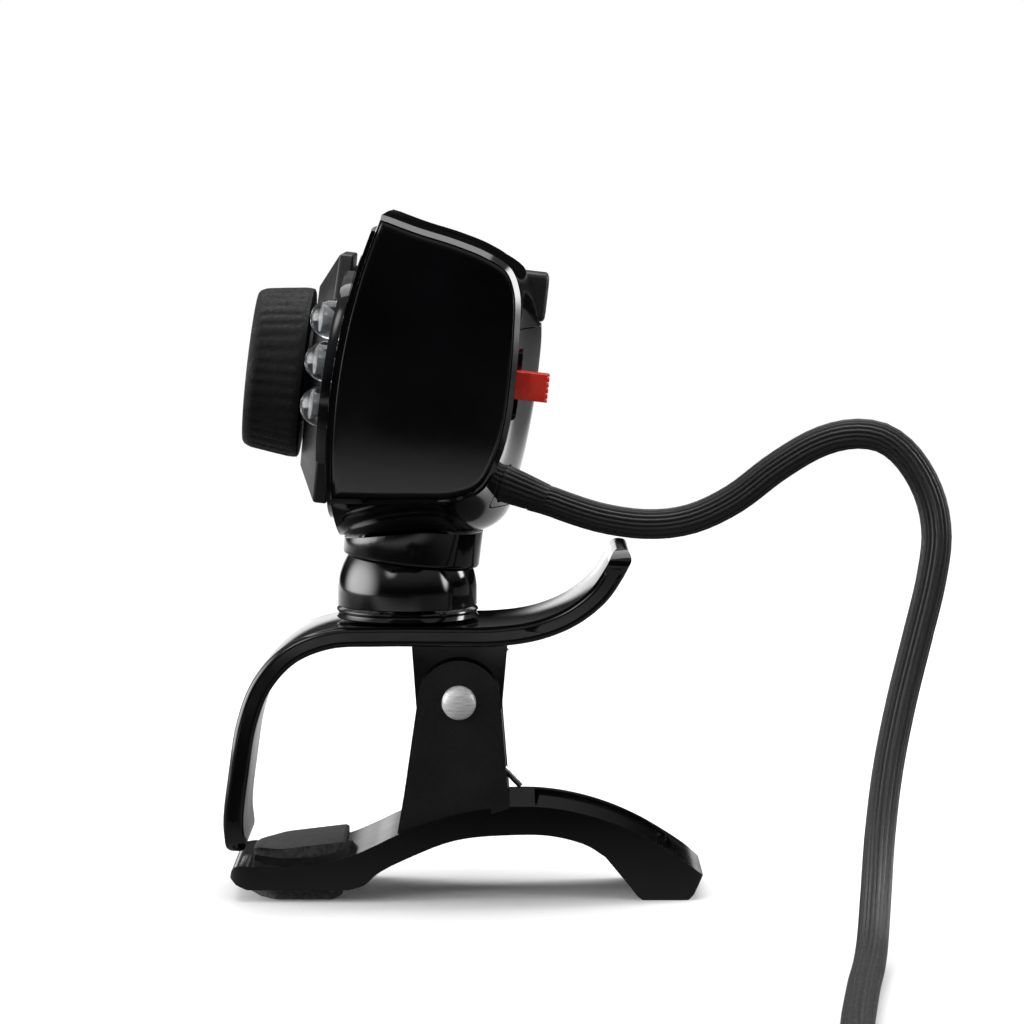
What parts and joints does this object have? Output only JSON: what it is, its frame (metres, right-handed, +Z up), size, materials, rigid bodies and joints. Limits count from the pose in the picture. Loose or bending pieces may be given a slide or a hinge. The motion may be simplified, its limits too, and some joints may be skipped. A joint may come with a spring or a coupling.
{
  "type": "clip-on webcam",
  "caption": "Clip-on desk webcam: pitched camera head with side lamps on a ball neck, over a sprung clip that stands on its padded foot, with a coiled lead and plug.",
  "frame": {"origin": "on the floor, at the middle of the clip's length and width", "axes": "+Z up, the lens looks along -Y, +X is the webcam's own left, where the lead leaves it and is coiled"},
  "size_m": [0.1833, 0.0845, 0.0742],
  "materials": {
    "gloss": "polished black ABS",
    "satin": "fine satin black",
    "rubber": "matte black soft rubber",
    "foam": "grained black foam rubber",
    "red": "translucent-looking red plastic",
    "clear": "clear moulded lamp resin",
    "optic": "coated glass",
    "steel": "bright plated steel",
    "board": "solder-mask green laminate",
    "chip": "moulded black component body"
  },
  "bodies": {
    "upper_jaw": {"upper_jaw": "gloss", "hinge_pin": "steel", "torsion_spring": "steel"},
    "lower_jaw": {"lower_jaw": "gloss", "jaw_pad": "foam", "foot_pad": "foam"},
    "neck": {"neck_base": "gloss", "neck_ball": "gloss", "neck_screw": "steel", "cord_run": "rubber", "cord_coil": "rubber", "cable_tie": "satin", "cord_tail": "rubber", "plug_boot": "rubber", "plug_body": "satin", "plug_shell": "steel", "plug_tongue": "satin"},
    "head": {"front_shell": "gloss", "rear_cover": "gloss", "side_panel_left": "gloss", "side_panel_right": "gloss", "front_plate": "gloss", "lens_collar": "satin", "lens_holder": "satin", "infrared_filter": "optic", "image_sensor": "chip", "main_board": "board", "led_board": "board", "led_1": "clear", "led_2": "clear", "led_3": "clear", "led_4": "clear", "led_5": "clear", "led_6": "clear", "led_trim_left": "gloss", "led_trim_right": "gloss", "microphone": "steel", "button_switch": "chip", "slide_switch": "chip", "cover_screw_1": "steel", "cover_screw_2": "steel", "cable_boot": "rubber", "head_collar": "gloss", "pivot_screw": "steel", "pivot_nut": "steel", "cord_tube": "rubber"},
    "focus_ring": {"focus_ring": "rubber", "lens_barrel": "satin", "lens_glass": "optic"},
    "snapshot_button": {"snapshot_button": "satin"},
    "led_slider": {"led_slider": "red"}
  },
  "joints": [
    {"name": "jaw_open", "type": "hinge", "parent": "upper_jaw", "child": "lower_jaw", "pos_m": [0, -0.0005, 0.0216], "axis": [1, 0, 0], "range_deg": [0, 30], "stiffness_Nm_per_rad": 0.2, "springref_deg": -34.38, "deforming": ["torsion_spring"]},
    {"name": "neck_pan", "type": "hinge", "parent": "upper_jaw", "child": "neck", "pos_m": [0, -0.0062, 0.033], "axis": [0, 0, 1], "range_deg": [-90, 90]},
    {"name": "head_tilt", "type": "hinge", "parent": "neck", "child": "head", "pos_m": [0, -0.0062, 0.033], "axis": [1, 0, 0], "range_deg": [-15, 20]},
    {"name": "focus_turn", "type": "hinge", "parent": "head", "child": "focus_ring", "pos_m": [0, -0.00368, 0.05516], "axis": [0, -0.9936, 0.1132], "range_deg": [-150, 150]},
    {"name": "button_press", "type": "slide", "parent": "head", "child": "snapshot_button", "axis": [0, -0.9936, 0.1132], "range_m": [0, 0.0005], "stiffness_N_per_m": 1000, "springref_m": -0.0005},
    {"name": "led_slide", "type": "slide", "parent": "head", "child": "led_slider", "axis": [0, 0.1132, 0.9936], "range_m": [-0.002, 0.002]}
  ]
}
